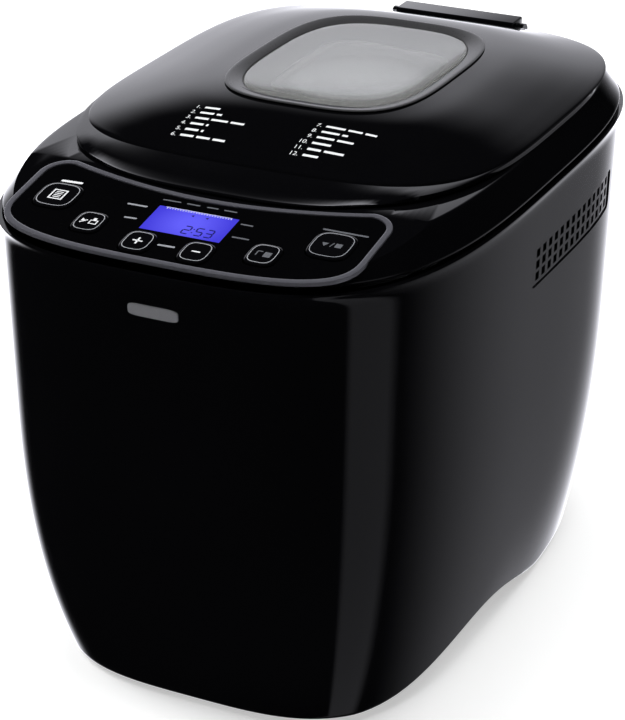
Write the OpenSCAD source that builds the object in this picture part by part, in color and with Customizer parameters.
/* [Body] */
// Width of the case across its top rim
case_w = 250; // [244:1:256]
// Depth of the case across its top rim
case_d = 373; // [368:1:378]
// Height of the case's top rim above the floor
rim_z = 246; // [245:0.5:247]
// Thickness of the moulded case walls
wall = 3; // [2.5:0.1:3.2]
// Height of the lifting recess in each side's lower edge
grip_h = 20; // [14:1:21]

/* [Control panel] */
// Slope of the control panel, rising to the back
panel_tilt = 10.3; // [10:0.1:10.6]
// Travel of each key
key_travel = 0.8; // [0.4:0.1:0.9]

/* [Oven] */
// Inside width of the oven chamber
oven_w = 176; // [174:1:178]
// Inside depth of the oven chamber
oven_d = 226; // [222:1:228]
// Height of the chamber's floor above the table
oven_z = 56; // [56:0.5:57]

/* [Bread pan] */
// Outside width of the pan at its top
pan_w = 136; // [132:1:138]
// Outside depth of the pan at its top
pan_d = 186; // [182:1:190]
// Height of the pan wall
pan_h = 118; // [112:1:118]

/* [Lid] */
// Height of the lid's crown above its edge
crown = 13; // [12:0.5:13.5]

/* [Hidden] */
$fn = 48;

// Points round each lofted ring
ring_count = 72;
// Half sizes of the case rim
half_w = case_w / 2;
half_d = case_d / 2;
// Centre of the lid, the oven and the pan, behind the case's centre
oven_y = 36;
// Seat that the lid rests on
seat_z = 263.4;
// Height of the deck's lip
lip_z = 249.6;
// Lower edge of the case walls
skirt_z = 4;
// Level where the case starts to narrow towards its foot
waist_z = 147;
// Join between the case and its rear panel
rear_join_y = 122;
// Clearance between neighbouring mouldings
gap = 0.3;

// Control panel: the point on its centre line that its heights are measured from
panel_y = -144.6;
panel_z = 257.3;
panel_t = 1.4;
// Places of the six keys on the panel, left half; the right half mirrors them
key_xs = [72, 45.5, 15.2];
key_ys = [0, -16.6, -24.6];
big_key = [21.4, 21.6];
small_key = [15.6, 17.2];

// Lid outline
lid_w = 229.6;
lid_front = -121.6;
lid_back = 165;
lid_edge_z = 263.8;
lid_mid_y = 27.7;
crown_z = 267 + crown;
// Window outline
window_y = 36;
glass_w = 96;
glass_d = 131;
frame_w = 111;
frame_d = 147;

// Lid hinge
hinge_y = 171;
hinge_z = 261.6;
barrel_r = 7.5;
barrel_w = 70;
pin_r = 2;

// Oven and pan
oven_top = 258;
sheet = 1;
pan_bottom = 74;
pan_rim_z = pan_bottom + pan_h;
pan_wall = 1.6;
handle_z = pan_rim_z + 6;
handle_r = 2.5;
handle_reach = 56;
handle_x = pan_w / 2 + 6.5;

// Drive
motor_y = -122;
pulley_z = 31;
pulley_h = 8;
large_r = 46;
small_r = 9;
shaft_r = 4;
motor_shaft_r = 2.5;
belt_t = 2;
base_z = 25;
base_t = 2.5;

black = [0.03, 0.03, 0.035];
steel = [0.72, 0.73, 0.75];

function side_of(v) = v < 0 ? -1 : 1;
// Superellipse outline: half width a, exponent n, widest at mid, from front to back
function oval(a, n, mid, front, back, count = ring_count) = [
    for (i = [0 : count - 1])
        let (t = 360 * i / count, c = cos(t), s = sin(t), reach = s < 0 ? mid - front : back - mid)
            [a * side_of(c) * pow(abs(c), 2 / n), mid + reach * side_of(s) * pow(abs(s), 2 / n)]];
// The outline moved in by a margin on every side
function inner_oval(a, n, mid, front, back, margin) =
    oval(a - margin, n, mid, front + margin, back - margin);
function level(outline, z) = [for (p = outline) [p[0], p[1], z]];

// Case outline at a height: a straight taper with a fuller curve under near the foot
function drop(z) = (rim_z - z) / rim_z;
function tuck(z) = z < waist_z ? pow((waist_z - z) / waist_z, 2.39) : 0;
function flare(z) = z > rim_z - 8 ? pow((z - rim_z + 8) / 8, 2) : 0;
function case_a(z) = half_w - 1.6 - 6.8 * drop(z) - 11.8 * tuck(z) + 1.6 * flare(z);
function case_front(z) = -(half_d - 3.4 - 2.7 * drop(z) - 26.3 * tuck(z) + 3.4 * flare(z));
function case_back(z) = half_d - 4 - 10.4 * drop(z) - 10.6 * tuck(z) + 4 * flare(z);
function case_ring(z, margin = 0) =
    level(inner_oval(case_a(z), 3.45, 0, case_front(z), case_back(z), margin), z);

// Solid skin through a list of rings; closed joins the last ring to the first
module skin(rings, closed = false) {
    n = len(rings[0]);
    m = len(rings);
    last = closed ? m - 1 : m - 2;
    sides = [for (j = [0 : last]) for (i = [0 : n - 1])
        let (k = (j + 1) % m, h = (i + 1) % n)
            [[j * n + i, k * n + i, k * n + h], [j * n + i, k * n + h, j * n + h]]];
    walls = [for (pair = sides) for (face = pair) face];
    foot = [[for (i = [0 : n - 1]) i]];
    head = [[for (i = [n - 1 : -1 : 0]) (m - 1) * n + i]];
    points = [for (ring = rings) for (p = ring) p];
    polyhedron(points = points, faces = closed ? walls : concat(walls, foot, head), convexity = 8);
}

// Flat plate with a superellipse outline
module oval_plate(a, n, mid, front, back, z, t) {
    translate([0, 0, z]) linear_extrude(t) polygon(oval(a, n, mid, front, back));
}

// Rectangle with round corners, centred
module round_rect(w, d, r) {
    square([w - 2 * r, d], center = true);
    square([w, d - 2 * r], center = true);
    for (x = [-1, 1]) for (y = [-1, 1]) translate([x * (w / 2 - r), y * (d / 2 - r)]) circle(r);
}

module round_box(w, d, h, r) {
    linear_extrude(h) round_rect(w, d, r);
}

// Puts children on the control panel: x across, y up the slope, z out of the panel
module on_panel() {
    translate([0, panel_y, panel_z]) rotate([panel_tilt, 0, 0]) children();
}

// Cross-headed screw: a pan head with a slot each way, its shank pointing down
module screw(head_r, head_h, shank_r, shank_l) {
    difference() {
        union() {
            cylinder(r = head_r, h = head_h);
            translate([0, 0, -shank_l]) cylinder(r = shank_r, h = shank_l + 0.1);
        }
        for (a = [0, 90]) {
            rotate(a) translate([0, 0, head_h]) cube([head_r * 1.2, 0.7, 1.2], center = true);
        }
    }
}

// ---- Case ----

// The lifting recess's outline, seen from the side, as a smooth rise and fall
module grip_profile() {
    span = 92;
    steps = 24;
    rise = [for (i = [0 : steps]) let (u = 2 * i / steps - 1)
        [-44 + span * u, skirt_z - 0.01 + grip_h * pow(cos(90 * u), 1.4)]];
    polygon(concat([[-44 - span, -5]], rise, [[-44 + span, -5]]));
}

module case_wall() {
    levels = [skirt_z, 12, 22, 34, 50, 70, 92, 118, waist_z, 190, 225, 238, 241, 244, rim_z];
    outer = [for (z = levels) case_ring(z)];
    inner = [for (i = [len(levels) - 1 : -1 : 0]) case_ring(levels[i], wall)];
    skin(concat(outer, inner), closed = true);
}

module grip_cut() {
    rotate([90, 0, 90]) translate([0, 0, -half_w - 5]) linear_extrude(case_w + 10) grip_profile();
}

module behind_join(from_y) {
    translate([-half_w - 10, from_y, -5]) cube([case_w + 20, 120, rim_z + 20]);
}

vent_y = 40;
vent_w = 122;
vent_z = 196.5;
vent_h = 22;

// Window for the grille in each side wall, and the grille's own outline
module vent_opening(margin) {
    translate([0, vent_y, vent_z + vent_h / 2]) rotate([90, 0, 90])
        translate([0, 0, -half_w - 5]) round_box(vent_w - 2 * margin, vent_h - 2 * margin, case_w + 10, 4);
}

module body_shell() {
    color(black) difference() {
        case_wall();
        grip_cut();
        vent_opening(0);
        behind_join(rear_join_y);
    }
}

module rear_panel() {
    slots = 15;
    color(black) difference() {
        intersection() {
            case_wall();
            behind_join(rear_join_y + gap);
        }
        for (i = [0 : slots - 1]) for (z = [150, 172]) {
            translate([(i - (slots - 1) / 2) * 8, 150, z]) rotate([-90, 0, 0])
                linear_extrude(60) round_rect(4, 15, 1.9);
        }
        translate([gland_x, 150, gland_z]) rotate([-90, 0, 0]) cylinder(r = gland_r + 0.05, h = 60);
    }
}

gland_x = -30;
gland_z = 60;
gland_r = 9;
cord_r = 3.6;

// Strain relief that the mains cord leaves through
module cord_gland() {
    back = case_back(gland_z);
    color([0.05, 0.05, 0.05]) translate([gland_x, back, gland_z]) rotate([-90, 0, 0]) difference() {
        union() {
            translate([0, 0, -12]) cylinder(r = gland_r, h = 14);
            translate([0, 0, -7]) cylinder(r = gland_r + 2, h = 2);
            translate([0, 0, 1.6]) cylinder(r = gland_r + 2, h = 2);
            translate([0, 0, 3.5]) cylinder(r1 = gland_r + 1, r2 = gland_r - 3, h = 8);
        }
        translate([0, 0, -30]) cylinder(r = cord_r, h = 50);
    }
}

foot_front = [64, -122];
foot_rear = [90, 66];
foot_h = 5;
pad_l = 66;

module base_plate() {
    a = case_a(base_z) - wall - 1;
    front = case_front(base_z) + wall + 1;
    back = case_back(base_z) - wall - 1;
    color(black) difference() {
        union() {
            oval_plate(a, 3.45, 0, front, back, base_z, base_t);
            for (x = [-1, 1]) {
                translate([x * foot_front[0], foot_front[1], foot_h])
                    cylinder(r = 11, h = base_z - foot_h + 0.1);
                translate([x * foot_rear[0], foot_rear[1], foot_h])
                    round_box(13, pad_l - 2, base_z - foot_h + 0.1, 6);
            }
            for (x = [-30, 30]) translate([x, motor_y, base_z + base_t - 0.1]) cylinder(r = 5, h = 8.1);
        }
        for (x = [-1, 1]) {
            translate([x * foot_front[0], foot_front[1], -1]) cylinder(r = 1.55, h = 18);
            translate([x * foot_rear[0], foot_rear[1], -1]) cylinder(r = 1.55, h = 18);
        }
        for (i = [-3 : 3]) translate([i * 9, 100, base_z - 1]) round_box(4, 44, base_t + 2, 1.9);
    }
}

module foot_recess() {
    translate([0, 0, -0.01]) cylinder(r = 4.2, h = 2.4);
    translate([0, 0, -1]) cylinder(r = 1.7, h = 10);
}

module front_feet() {
    color([0.06, 0.06, 0.06]) for (x = [-1, 1]) {
        translate([x * foot_front[0], foot_front[1], 0]) difference() {
            union() {
                translate([0, 0, 1]) cylinder(r = 12, h = foot_h - 1);
                cylinder(r1 = 11, r2 = 12, h = 1);
            }
            foot_recess();
        }
    }
}

module rear_feet() {
    color([0.06, 0.06, 0.06]) for (x = [-1, 1]) {
        translate([x * foot_rear[0], foot_rear[1], 0]) difference() {
            round_box(15, pad_l, foot_h, 7);
            foot_recess();
        }
    }
}

module foot_screws() {
    places = [foot_front, [-foot_front[0], foot_front[1]], foot_rear, [-foot_rear[0], foot_rear[1]]];
    color(steel) for (p = places) {
        translate([p[0], p[1], 2.35]) rotate([180, 0, 0]) screw(3.6, 1.8, 1.5, 12);
    }
}

// Grille insert of upright slots that follows the case's side
module side_vent() {
    columns = 14;
    rows = 3;
    pitch_y = 8.1;
    pitch_z = 6.2;
    color(black) difference() {
        intersection() {
            skin([case_ring(vent_z - 2, 0.6), case_ring(vent_z + vent_h + 2, 0.6)]);
            vent_opening(gap);
            translate([0, -half_d, 0]) cube([half_w, case_d, rim_z]);
        }
        skin([case_ring(vent_z - 4, wall), case_ring(vent_z + vent_h + 4, wall)]);
        for (i = [0 : columns - 1]) for (j = [0 : rows - 1]) {
            translate([60, vent_y + (i - (columns - 1) / 2) * pitch_y,
                vent_z + vent_h / 2 + (j - (rows - 1) / 2) * pitch_z])
                rotate([90, 0, 90]) linear_extrude(80) square([4.6, 4.4], center = true);
        }
    }
}

module side_vent_right() {
    side_vent();
}

module side_vent_left() {
    mirror([1, 0, 0]) side_vent();
}

// ---- Deck and control panel ----

function deck_ring(margin, z, n = 3.42) =
    level(inner_oval(half_w - 1.3, n, 0, -half_d + 5, half_d - 5, margin), z);

// Everything above the sloping panel plane
module panel_cut() {
    on_panel() translate([-150, -80, 0]) cube([300, 140, 60]);
}

// The panel's smile-shaped outline, grown or shrunk by a margin
module panel_outline(margin) {
    corner = 14;
    steps = 28;
    reach = 93 + margin;
    low = [for (i = [0 : steps]) let (t = 180 + 180 * i / steps)
        [reach * side_of(cos(t)) * pow(abs(cos(t)), 2 / 3.1),
         -4 + (34 + margin) * side_of(sin(t)) * pow(abs(sin(t)), 2 / 3.1)]];
    high_right = [for (i = [0 : 6]) let (t = 15 * i)
        [reach - (corner + margin) * (1 - cos(t)), 18 + (corner + margin) * sin(t)]];
    high_left = [for (i = [6 : -1 : 0]) [-high_right[i][0], high_right[i][1]]];
    dip = [for (i = [1 : 11]) let (u = 1 - i / 6, x = u * (reach - corner - margin))
        [x, 32 + margin - 12 * pow(cos(90 * u), 0.9)]];
    polygon(concat(low, high_right, dip, high_left));
}

module deck_bosses() {
    for (x = [-104, 104]) for (y = [-60, 60]) translate([x, y, 232]) cylinder(r = 4.5, h = 29);
}

module deck_skin() {
    skin([deck_ring(6.6, 236), deck_ring(5.4, 244), deck_ring(2.4, 246.6), deck_ring(0.4, 248.2),
        deck_ring(0, lip_z), deck_ring(0.9, 251.2), deck_ring(3.4, 255), deck_ring(6.4, 259.4),
        deck_ring(8.9, 262.4), deck_ring(10.6, seat_z)]);
}

module deck_hollow() {
    skin([deck_ring(9, 235), deck_ring(8, 244), deck_ring(4.4, 250.8), deck_ring(9.2, 257),
        deck_ring(13, seat_z - 3)]);
}

// Solid wall left under the sloping panel, inside the deck's hollow
module panel_slab() {
    intersection() {
        on_panel() translate([-150, -60, -3.6]) cube([300, 96, 40]);
        translate([-150, -half_d, 200]) cube([300, half_d - 108, 100]);
    }
}

// Block that the hinge trough is cut into
module trough_block() {
    translate([-46, 153.6, 248]) cube([92, 28, 16]);
}

// Trough that the hinge barrel turns in, with a slot for each ear of the bracket
module hinge_notch() {
    ear = barrel_w / 2 + 2.5;
    translate([-ear - 4, hinge_y - 15, hinge_z - 4.6]) cube([2 * ear + 8, 23.1, 30]);
    translate([-barrel_w / 2 - 0.5, hinge_y - 15, hinge_z - 8.2]) cube([barrel_w + 1, 23.1, 30]);
    for (s = [-1, 1]) translate([s * ear - 2.5, hinge_y - 9, 230]) cube([5, 15, 60]);
}

module top_deck() {
    color(black) difference() {
        intersection() {
            deck_skin();
            difference() {
                translate([-half_w, -half_d, 230]) cube([case_w, case_d, 40]);
                difference() {
                    deck_hollow();
                    panel_slab();
                    deck_bosses();
                    trough_block();
                }
            }
        }
        panel_cut();
        on_panel() translate([0, 0, -panel_t]) linear_extrude(10) panel_outline(0.2);
        on_panel() translate([0, 0, -20]) linear_extrude(30) panel_outline(-4);
        translate([0, oven_y, 200]) round_box(oven_w + 4, oven_d + 4, 100, 32);
        for (x = [-104, 104]) for (y = [-60, 60]) translate([x, y, 220]) cylinder(r = 1.3, h = 30);
        hinge_notch();
    }
}

module deck_screws() {
    color(steel) for (x = [-104, 104]) for (y = [-60, 60]) {
        translate([x, y, 231.9]) rotate([180, 0, 0]) screw(3.2, 1.8, 1.25, 12);
    }
}

module panel_ring() {
    color([0.7, 0.72, 0.74]) on_panel() translate([0, 0, -panel_t]) linear_extrude(panel_t + 0.7)
        difference() {
            panel_outline(0);
            panel_outline(-3);
        }
}

// Each key's place: x, y on the panel and its size
function key_place(i) = i < 3
    ? [-key_xs[i], key_ys[i], i == 0 ? big_key : small_key]
    : [key_xs[5 - i], key_ys[5 - i], i == 5 ? big_key : small_key];

module key_holes() {
    for (i = [0 : 5]) {
        k = key_place(i);
        translate([k[0], k[1]]) round_rect(k[2][0] + 2 * gap, k[2][1] + 2 * gap, k[2][0] / 3.1);
    }
}

// Display window: width, depth, and its centre below the middle of the panel
lens_w = 41.9;
lens_d = 20.9;
lens_y = -2.2;

module panel_fascia() {
    color(black) on_panel() translate([0, 0, -panel_t]) linear_extrude(panel_t) difference() {
        panel_outline(-3);
        key_holes();
        translate([0, lens_y]) square([lens_w, lens_d], center = true);
    }
}

module display_lens() {
    color([0.25, 0.3, 0.95]) on_panel() translate([-lens_w / 2, lens_y - lens_d / 2, -panel_t])
        cube([lens_w, lens_d, panel_t + 0.05]);
}

module display_module() {
    color([0.2, 0.22, 0.24]) on_panel() translate([-lens_w / 2 - 2, lens_y - lens_d / 2 - 1, -5.4])
        cube([lens_w + 4, lens_d + 2, 3.9]);
}

board_drop = 8.4;

module control_board() {
    color([0.1, 0.35, 0.15]) on_panel() difference() {
        translate([0, -4, -board_drop]) linear_extrude(1.6) intersection() {
            round_rect(160, 60, 4);
            translate([0, 4]) panel_outline(-9);
        }
        for (x = [-32, 32]) translate([x, 8, -board_drop - 1]) cylinder(r = 1.6, h = 4);
    }
}

module key_switches() {
    color([0.15, 0.15, 0.15]) on_panel() for (i = [0 : 5]) {
        k = key_place(i);
        translate([k[0], k[1], -board_drop + 1.6]) union() {
            translate([-3, -3, 0]) cube([6, 6, 2.4]);
            cylinder(r = 1.7, h = 3);
        }
    }
}

// A key: a cap in its hole, a slightly smaller face on top and a stem towards its switch
module key_cap(i) {
    k = key_place(i);
    color([0.05, 0.05, 0.06]) on_panel() translate([k[0], k[1], 0]) union() {
        translate([0, 0, -panel_t - 0.5]) round_box(k[2][0], k[2][1], panel_t + 1.1, k[2][0] / 3.2);
        translate([0, 0, 0.55]) round_box(k[2][0] - 1.2, k[2][1] - 1.2, 0.5, k[2][0] / 3.4);
        translate([0, 0, -board_drop + 1.6 + 3 + key_travel + 0.1]) cylinder(r = 2.2, h = 2.4);
    }
}

module menu_key() {
    key_cap(0);
}

module option_key() {
    key_cap(1);
}

module plus_key() {
    key_cap(2);
}

module minus_key() {
    key_cap(3);
}

module size_key() {
    key_cap(4);
}

module start_key() {
    key_cap(5);
}

// ---- Oven ----

module at_oven(z = 0) {
    translate([0, oven_y, z]) children();
}

heater_z = 82;
heater_r = 3.3;
heater_x = 79.5;
heater_y = 103;
heater_leg = 14;

module oven_chamber() {
    color(steel) at_oven() difference() {
        translate([0, 0, oven_z - sheet]) round_box(oven_w + 2 * sheet, oven_d + 2 * sheet,
            oven_top - 4 - oven_z + sheet, 31);
        translate([0, 0, oven_z]) round_box(oven_w, oven_d, 300, 30);
        translate([0, 0, oven_z - 5]) cylinder(r = 16.1, h = 10);
        for (x = [-heater_leg, heater_leg]) translate([x, 0, heater_z]) rotate([90, 0, 0])
            cylinder(r = 5.05, h = oven_d);
        translate([50, 0, 130]) rotate([90, 0, 0]) cylinder(r = 4.05, h = oven_d);
    }
}

// Folded collar that hangs the chamber from the deck
module chamber_flange() {
    color(steel) at_oven(oven_top - 4) difference() {
        union() {
            translate([0, 0, 5.2]) round_box(oven_w + 16, oven_d + 8, 1, 36);
            translate([0, 0, 0.05]) round_box(oven_w + 2 * sheet, oven_d + 2 * sheet, 5.2, 31);
        }
        translate([0, 0, -1]) round_box(oven_w, oven_d, 10, 30);
    }
}

// Quarter bend of round bar in the XY plane, centred on its bend centre, from +X to +Y
module bend(radius, bar_r, from = 0, turn = 90) {
    rotate(from) rotate_extrude(angle = turn) translate([radius, 0]) circle(bar_r);
}

module rod(from, to, bar_r) {
    d = to - from;
    length = norm(d);
    translate(from) rotate([0, acos(d[2] / length), atan2(d[1], d[0])]) cylinder(r = bar_r, h = length);
}

// Tubular element that runs round the chamber and leaves through its front wall
module heating_element() {
    bend_r = 22;
    x = heater_x;
    y = heater_y;
    color([0.35, 0.34, 0.33]) at_oven(heater_z) {
        for (s = [-1, 1]) {
            rod([s * x, -y + bend_r, 0], [s * x, y - bend_r, 0], heater_r);
            translate([s * (x - bend_r), y - bend_r, 0]) bend(bend_r, heater_r, s > 0 ? 0 : 90);
            translate([s * (x - bend_r), -y + bend_r, 0]) bend(bend_r, heater_r, s > 0 ? 270 : 180);
            rod([s * (x - bend_r), -y, 0], [s * (heater_leg + 8), -y, 0], heater_r);
            translate([s * (heater_leg + 8), -y - 8, 0]) bend(8, heater_r, s > 0 ? 90 : 0);
            rod([s * heater_leg, -y - 8, 0], [s * heater_leg, -y - 22, 0], heater_r);
        }
        rod([-x + bend_r, y, 0], [x - bend_r, y, 0], heater_r);
    }
}

module heater_bushes() {
    color([0.9, 0.88, 0.84]) at_oven(heater_z) for (x = [-heater_leg, heater_leg]) {
        translate([x, -oven_d / 2 + 1.5, 0]) rotate([90, 0, 0]) difference() {
            union() {
                cylinder(r = 5, h = 10);
                translate([0, 0, 2.55]) cylinder(r = 7, h = 3);
            }
            translate([0, 0, -1]) cylinder(r = heater_r + 0.03, h = 14);
        }
    }
}

module temperature_sensor() {
    color(steel) at_oven(130) translate([50, -oven_d / 2 + 12, 0]) rotate([90, 0, 0]) union() {
        cylinder(r = 2.5, h = 20);
        translate([0, 0, 8]) cylinder(r = 4, h = 10);
        translate([0, 0, 13.02]) cylinder(r = 6, h = 3);
    }
}

module thermal_fuse() {
    color([0.85, 0.84, 0.8]) at_oven(150) translate([-40, -oven_d / 2 - 1 - 4.01, 0]) union() {
        rotate([0, 90, 0]) cylinder(r = 3.2, h = 22, center = true);
        translate([-14, -1, -5]) cube([4, 5, 10]);
        translate([10, -1, -5]) cube([4, 5, 10]);
    }
}

// Two sprung clips on the chamber's floor that grip the pan's foot
module pan_clips() {
    color(steel) at_oven(oven_z) for (s = [-1, 1]) {
        translate([0, s * 46, 0]) mirror([0, s < 0 ? 1 : 0, 0]) union() {
            translate([-9, -2, 0]) cube([18, 14, 0.8]);
            translate([-9, 0, 0]) cube([18, 0.8, 15]);
            translate([-9, 0.4, 15]) rotate([0, 90, 0]) cylinder(r = 1.4, h = 18);
        }
    }
}

module drive_bearing() {
    color([0.55, 0.55, 0.57]) at_oven() difference() {
        union() {
            translate([0, 0, 41]) cylinder(r = 11, h = 20);
            translate([0, 0, oven_z - sheet - 4]) cylinder(r = 24, h = 4);
            translate([0, 0, 44]) cylinder(r = 16, h = oven_z - 44);
        }
        translate([0, 0, 40]) cylinder(r = shaft_r + 0.05, h = 30);
    }
}

module drive_shaft() {
    color(steel) at_oven() translate([0, 0, 29]) cylinder(r = shaft_r, h = 36);
}

// Cup with three driving dogs on top of the drive shaft
module drive_coupler() {
    color([0.3, 0.3, 0.32]) at_oven(61.5) difference() {
        union() {
            cylinder(r = 10, h = 3.8);
            for (a = [0 : 120 : 240]) rotate(a + 60) translate([6, -2.5, 3.7]) cube([4, 5, 6.3]);
        }
        translate([0, 0, -1]) cylinder(r = shaft_r, h = 20);
    }
}

module large_pulley() {
    color([0.75, 0.74, 0.7]) at_oven(pulley_z) difference() {
        union() {
            cylinder(r = large_r + 2, h = 1.4);
            cylinder(r = large_r, h = pulley_h);
            translate([0, 0, pulley_h - 1.4]) cylinder(r = large_r + 2, h = 1.4);
        }
        translate([0, 0, -1]) cylinder(r = shaft_r, h = 20);
        difference() {
            translate([0, 0, 2.5]) cylinder(r = large_r - 5, h = 20);
            translate([0, 0, 2.4]) cylinder(r = 9, h = 21);
            for (a = [0 : 60 : 300]) rotate(a) translate([0, -1.5, 0]) cube([large_r, 3, 6]);
        }
        for (a = [0 : 60 : 300]) rotate(a + 30) translate([25, 0, -1]) cylinder(r = 8, h = 10);
    }
}

module shaft_clip() {
    color(steel) at_oven(39.5) difference() {
        cylinder(r = 7, h = 1);
        translate([0, 0, -1]) cylinder(r = shaft_r, h = 3);
    }
}

// Flat belt round both pulleys
module drive_belt() {
    span = oven_y - motor_y;
    lean = asin((large_r - small_r) / span);
    clear = 0.3;
    color([0.04, 0.04, 0.04]) translate([0, 0, pulley_z + 1.9]) difference() {
        belt_loop(large_r + clear + belt_t, small_r + clear + belt_t, span, lean, pulley_h - 3.8);
        translate([0, 0, -1]) belt_loop(large_r + clear, small_r + clear, span, lean, pulley_h);
    }
}

module belt_loop(big, small, span, lean, h) {
    translate([0, oven_y, 0]) cylinder(r = big, h = h);
    translate([0, oven_y - span, 0]) cylinder(r = small, h = h);
    linear_extrude(h) polygon([
        [big * cos(lean), oven_y - big * sin(lean)], [small * cos(lean), oven_y - span - small * sin(lean)],
        [-small * cos(lean), oven_y - span - small * sin(lean)],
        [-big * cos(lean), oven_y - big * sin(lean)]]);
}

motor_z = 62;
motor_r = 31;
motor_h = 74;

module motor_body() {
    color([0.5, 0.5, 0.52]) translate([0, motor_y, motor_z]) difference() {
        union() {
            cylinder(r = motor_r, h = motor_h);
            translate([0, 0, -5]) cylinder(r = 11, h = 5.1);
            translate([0, 0, motor_h - 0.1]) cylinder(r = 9, h = 5);
            translate([-20, -motor_r - 0.5, 18]) cube([40, 8, 40]);
        }
        translate([0, 0, -6]) cylinder(r = motor_shaft_r + 0.05, h = motor_h + 2);
        for (a = [0 : 30 : 330]) rotate(a) translate([22, 0, motor_h - 3]) cylinder(r = 3, h = 5);
    }
}

// Plate that hangs the motor from two posts on the base
module motor_bracket() {
    color(steel) translate([0, motor_y, 0]) difference() {
        union() {
            translate([0, 0, 53]) round_box(84, 52, 2.5, 10);
            for (x = [-30, 30]) translate([x, 0, 35.6]) cylinder(r = 4.4, h = 17.5);
        }
        translate([0, 0, 50]) cylinder(r = 11.3, h = 8);
    }
}

module motor_grommets() {
    color([0.05, 0.05, 0.05]) translate([0, motor_y, 55.5]) for (a = [45 : 90 : 315]) {
        rotate(a) translate([22, 0, 0]) cylinder(r = 4, h = motor_z - 55.5);
    }
}

module motor_shaft() {
    color(steel) translate([0, motor_y, 30]) cylinder(r = motor_shaft_r, h = 60);
}

module small_pulley() {
    color([0.75, 0.74, 0.7]) translate([0, motor_y, pulley_z]) difference() {
        union() {
            cylinder(r = small_r + 2, h = 1.4);
            cylinder(r = small_r, h = pulley_h + 4);
            translate([0, 0, pulley_h - 1.4]) cylinder(r = small_r + 2, h = 1.4);
        }
        translate([0, 0, -1]) cylinder(r = motor_shaft_r, h = 20);
    }
}

board_x = 52;

module power_board() {
    color([0.1, 0.35, 0.15]) translate([board_x, -152, base_z + base_t]) union() {
        translate([0, 0, 20]) cube([1.6, 66, 84]);
        translate([-0.5, 4, 0]) cube([2.6, 6, 20.1]);
        translate([-0.5, 56, 0]) cube([2.6, 6, 20.1]);
        translate([1.5, 8, 32]) cube([14, 18, 18]);
        translate([1.5, 36, 66]) cube([12, 20, 26]);
        translate([1.5, 36, 32]) cube([3, 14, 24]);
    }
}

module power_capacitor() {
    color([0.7, 0.7, 0.2]) translate([board_x + 1.61, -134, base_z + base_t + 72]) rotate([0, 90, 0])
        cylinder(r = 8, h = 20);
}

// Bundle of wires from the control board round the chamber to the cord's gland
module wiring_harness() {
    route = [[46, -118, 236], [46, -118, 150], [98, -60, 150], [100, 96, 150], [96, 128, 150],
        [70, 158, 130], [gland_x + 6, 158, 82]];
    color([0.5, 0.1, 0.1]) for (i = [1 : len(route) - 1]) hull() {
        translate(route[i - 1]) sphere(2.6, $fn = 14);
        translate(route[i]) sphere(2.6, $fn = 14);
    }
}

// ---- Hinge ----

// Bracket under the deck's trough, with an ear at each end of the barrel
module hinge_bracket() {
    ear_w = 4;
    color(steel) difference() {
        union() {
            for (s = [-1, 1]) translate([s * (barrel_w / 2 + 0.5 + ear_w / 2) - ear_w / 2, 0, 0]) union() {
                translate([0, hinge_y, hinge_z]) rotate([0, 90, 0]) cylinder(r = 4.5, h = ear_w);
                translate([0, hinge_y - 8, hinge_z - 17]) cube([ear_w, 9.5, 17]);
            }
            translate([-barrel_w / 2 - 4.5, hinge_y - 8, hinge_z - 17]) cube([barrel_w + 9, 9, 2]);
        }
        translate([-60, hinge_y, hinge_z]) rotate([0, 90, 0]) cylinder(r = pin_r + 0.05, h = 120);
    }
}

module hinge_pins() {
    color(steel) for (s = [-1, 1]) {
        translate([s * (barrel_w / 2 - 3), hinge_y, hinge_z]) rotate([0, 90, 0])
            cylinder(r = pin_r, h = 16, center = true);
    }
}

module hinge_barrel() {
    color(black) difference() {
        union() {
            translate([0, hinge_y, hinge_z]) rotate([0, 90, 0])
                cylinder(r = barrel_r, h = barrel_w, center = true);
            translate([-barrel_w / 2, hinge_y - 8, hinge_z + 2.6]) cube([barrel_w, 8, 4.9]);
        }
        translate([-60, hinge_y, hinge_z]) rotate([0, 90, 0]) cylinder(r = pin_r, h = 120);
    }
}

// ---- Lid ----

// The lid's edge dips at the front to follow the panel, a little above it
function edge_dip(y) = max(0, seat_z - panel_z - 0.6 - tan(panel_tilt) * (y - panel_y));
function lid_ring(a, n, front, back, z, dip) =
    [for (p = oval(a, n, lid_mid_y, front, back)) [p[0], p[1], z - dip * edge_dip(p[1])]];

// Each row: shrink at the sides, front and back, exponent, dip, then the height
lid_rows = [
    [[1.2, 0.8, 1.2, 3.1, 1], lid_edge_z],
    [[0, 0, 0, 3.12, 1], lid_edge_z + 1.2],
    [[0, 1.6, 0.4, 3.2, 1], lid_edge_z + 2.4],
    [[0.7, 29, 4.6, 3.8, 0], 267.6],
    [[3.4, 33, 8, 3.8, 0], 268.8],
    [[12, 42, 16, 3.6, 0], 271.2],
    [[26, 56, 27, 3.4, 0], 274.6],
    [[42, 72, 38, 3.3, 0], 277.6],
    [[56, 84, 48, 3.2, 0], crown_z - 0.9],
    [[62, 92, 58, 3.2, 0], crown_z - 0.4],
    [[110, 144, 124, 2.4, 0], crown_z]];

module lid_solid(inset, lower) {
    skin([for (row = lid_rows)
        let (s = row[0], z = row[1])
            lid_ring(lid_w / 2 - s[0] - inset, s[3], lid_front + s[1] + inset, lid_back - s[2] - inset,
                z - lower, s[4])]);
}

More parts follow.
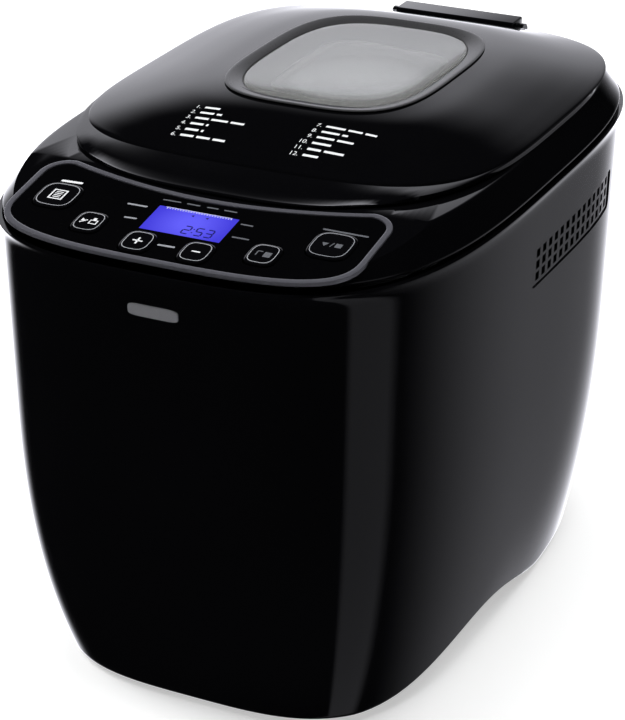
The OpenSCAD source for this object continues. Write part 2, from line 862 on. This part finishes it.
module lid_shell() {
    slots = 3;
    color(black) difference() {
        lid_solid(0, 0);
        lid_solid(2.4, 2.4);
        oval_plate(frame_w / 2 - 3, 3.3, window_y,
            window_y - frame_d / 2 + 3, window_y + frame_d / 2 - 3, 250, 60);
        for (i = [0 : slots - 1]) translate([-10 + 2 * i, 150 + 3.6 * i, 255]) round_box(38, 1.6, 40, 0.79);
        translate([-barrel_w / 2 - gap, hinge_y - 8 - gap, 250]) cube([barrel_w + 2 * gap, 20, 40]);
    }
}

function frame_oval(margin) =
    inner_oval(frame_w / 2, 3.4, window_y, window_y - frame_d / 2, window_y + frame_d / 2, margin);
function glass_oval(margin) =
    inner_oval(glass_w / 2, 3.1, window_y, window_y - glass_d / 2, window_y + glass_d / 2, margin);

// Bevelled surround that drops from the lid's crown to the glass
module window_frame() {
    color([0.08, 0.08, 0.085]) skin([
        level(frame_oval(3.4), crown_z - 3), level(frame_oval(3.4), crown_z + 0.2),
        level(frame_oval(0), crown_z + 0.4), level(frame_oval(0.8), crown_z + 1.2),
        level(frame_oval(2.2), crown_z + 1.4), level(glass_oval(-0.2), crown_z - 1.2),
        level(glass_oval(-0.2), crown_z - 3)], closed = true);
}

module window_glass() {
    color([0.75, 0.78, 0.75, 0.4]) skin([
        level(glass_oval(0), crown_z - 3.4), level(glass_oval(0), crown_z - 1),
        level(glass_oval(2), crown_z - 0.4), level(glass_oval(14), crown_z + 0.2),
        level(glass_oval(30), crown_z + 0.6)]);
}

liner_z = 262.6;

module lid_liner() {
    a = oven_w / 2 - 2;
    d = oven_d / 2 - 2;
    color([0.55, 0.55, 0.56]) difference() {
        union() {
            translate([0, oven_y, liner_z + 1.2]) round_box(oven_w + 22, oven_d + 2, 2, 40);
            translate([0, oven_y, liner_z]) round_box(2 * a, 2 * d, 2.2, 30);
        }
        translate([0, window_y, liner_z + 1.4]) round_box(glass_w - 16, glass_d - 16, 20, 18);
        translate([0, window_y, liner_z - 1]) round_box(glass_w - 24, glass_d - 24, 20, 15);
        for (x = [-70, 70]) for (y = [-50, 122]) translate([x, y, liner_z - 1]) cylinder(r = 1.7, h = 9);
    }
}

module inner_glass() {
    color([0.8, 0.83, 0.8, 0.4]) translate([0, window_y, liner_z + 1.41])
        round_box(glass_w - 16.4, glass_d - 16.4, 3, 17.8);
}

module lid_seal() {
    color([0.2, 0.2, 0.2]) translate([0, oven_y, liner_z - 3.6]) difference() {
        round_box(oven_w - 1.4, oven_d - 1.4, 3.6, 29.4);
        translate([0, 0, -1]) round_box(oven_w - 10, oven_d - 10, 6, 26);
    }
}

module lid_screws() {
    color(steel) for (x = [-70, 70]) for (y = [-50, 122]) {
        translate([x, y, liner_z - 0.01]) rotate([180, 0, 0]) screw(3.2, 1.4, 1.5, 6);
    }
}

// ---- Bread pan ----

module pan_shape(margin, bottom, top) {
    w = pan_w - 2 * margin;
    d = pan_d - 2 * margin;
    hull() {
        translate([0, 0, bottom]) linear_extrude(0.01) round_rect(w - 10, d - 10, 22 - margin, $fn = 64);
        translate([0, 0, top]) linear_extrude(0.01) round_rect(w, d, 24 - margin, $fn = 64);
    }
}

module bread_pan() {
    color([0.16, 0.16, 0.17]) at_oven() difference() {
        union() {
            pan_shape(0, pan_bottom, pan_rim_z);
            translate([0, 0, pan_rim_z - 1.6]) round_box(pan_w + 5, pan_d + 5, 1.6, 26);
            translate([0, 0, oven_z + 6.4]) cylinder(r = 44, h = pan_bottom - oven_z - 6);
            for (s = [-1, 1]) translate([s * (handle_x - 4.2) - 1.2, 0, 0]) pan_ear();
        }
        pan_shape(pan_wall, pan_bottom + pan_wall, pan_rim_z + 1);
        translate([0, 0, oven_z]) cylinder(r = 42.4, h = pan_bottom - oven_z);
        cylinder(r = 9.05, h = 100);
        for (x = [-1, 1]) translate([x * handle_x, 0, handle_z]) rotate([0, 90, 0])
            cylinder(r = handle_r + 0.06, h = 20, center = true);
    }
}

// Upright ear riveted to the rim that the handle's end turns in
module pan_ear() {
    translate([0, 0, handle_z]) rotate([0, 90, 0]) cylinder(r = 6, h = 2.4);
    translate([0, -6, pan_rim_z - 22]) cube([2.4, 12, 28]);
}

// Bail handle lying back over the pan, in the plane of its pivots
module pan_handle() {
    corner = 14;
    reach = handle_reach;
    leg = handle_x;
    color([0.6, 0.6, 0.62]) at_oven(handle_z) {
        for (s = [-1, 1]) {
            rod([s * leg, 0, 0], [s * leg, reach - corner, 0], handle_r);
            translate([s * leg, 0, 0]) sphere(handle_r);
            translate([s * (leg - corner), reach - corner, 0]) bend(corner, handle_r, s > 0 ? 0 : 90);
            rod([s * leg, 0, 0], [s * (leg - 9), 0, 0], handle_r);
        }
        rod([-leg + corner, reach, 0], [leg - corner, reach, 0], handle_r);
        translate([-30, reach, 0]) rotate([0, 90, 0]) cylinder(r = 4.5, h = 60);
    }
}

module pan_bushing() {
    color([0.75, 0.6, 0.3]) at_oven() difference() {
        union() {
            translate([0, 0, pan_bottom]) cylinder(r = 9, h = 8);
            translate([0, 0, pan_bottom + pan_wall]) cylinder(r = 12, h = 3);
        }
        translate([0, 0, 60]) cylinder(r = shaft_r + 0.05, h = 40);
    }
}

module pan_shaft() {
    color(steel) at_oven() difference() {
        translate([0, 0, 66]) cylinder(r = shaft_r, h = 34);
        translate([-5, 2.6, 81.6]) cube([10, 5, 20]);
    }
}

// Winged collar under the pan that the drive coupler's dogs push
module pan_coupling() {
    color([0.3, 0.3, 0.32]) at_oven(66.2) difference() {
        union() {
            cylinder(r = 5.6, h = 5);
            for (a = [0 : 120 : 240]) rotate(a) translate([0, -1.6, 0]) cube([9.6, 3.2, 5]);
        }
        translate([0, 0, -1]) cylinder(r = shaft_r, h = 8);
    }
}

module kneading_paddle() {
    color([0.2, 0.2, 0.21]) at_oven(82.6) difference() {
        union() {
            cylinder(r = 9, h = 22);
            translate([6, -1.6, 0.5]) cube([38, 3.2, 20]);
            translate([44, 0, 0.5]) cylinder(r = 1.6, h = 20);
            translate([-14, -2.4, 0.5]) cube([8, 4.8, 12]);
        }
        difference() {
            translate([0, 0, -1]) cylinder(r = shaft_r + 0.05, h = 19.6);
            translate([-5, 2.65, -2]) cube([10, 5, 30]);
        }
    }
}

body_shell();
rear_panel();
base_plate();
front_feet();
rear_feet();
foot_screws();
side_vent_left();
side_vent_right();
top_deck();
deck_screws();
panel_ring();
panel_fascia();
display_lens();
display_module();
control_board();
key_switches();
menu_key();
option_key();
plus_key();
minus_key();
size_key();
start_key();
oven_chamber();
chamber_flange();
heating_element();
heater_bushes();
temperature_sensor();
thermal_fuse();
pan_clips();
drive_bearing();
drive_shaft();
large_pulley();
drive_coupler();
shaft_clip();
drive_belt();
motor_body();
motor_bracket();
motor_shaft();
small_pulley();
motor_grommets();
power_board();
power_capacitor();
wiring_harness();
cord_gland();
hinge_bracket();
hinge_pins();
lid_shell();
window_frame();
window_glass();
lid_liner();
inner_glass();
lid_seal();
hinge_barrel();
lid_screws();
bread_pan();
pan_handle();
pan_bushing();
pan_shaft();
pan_coupling();
kneading_paddle();
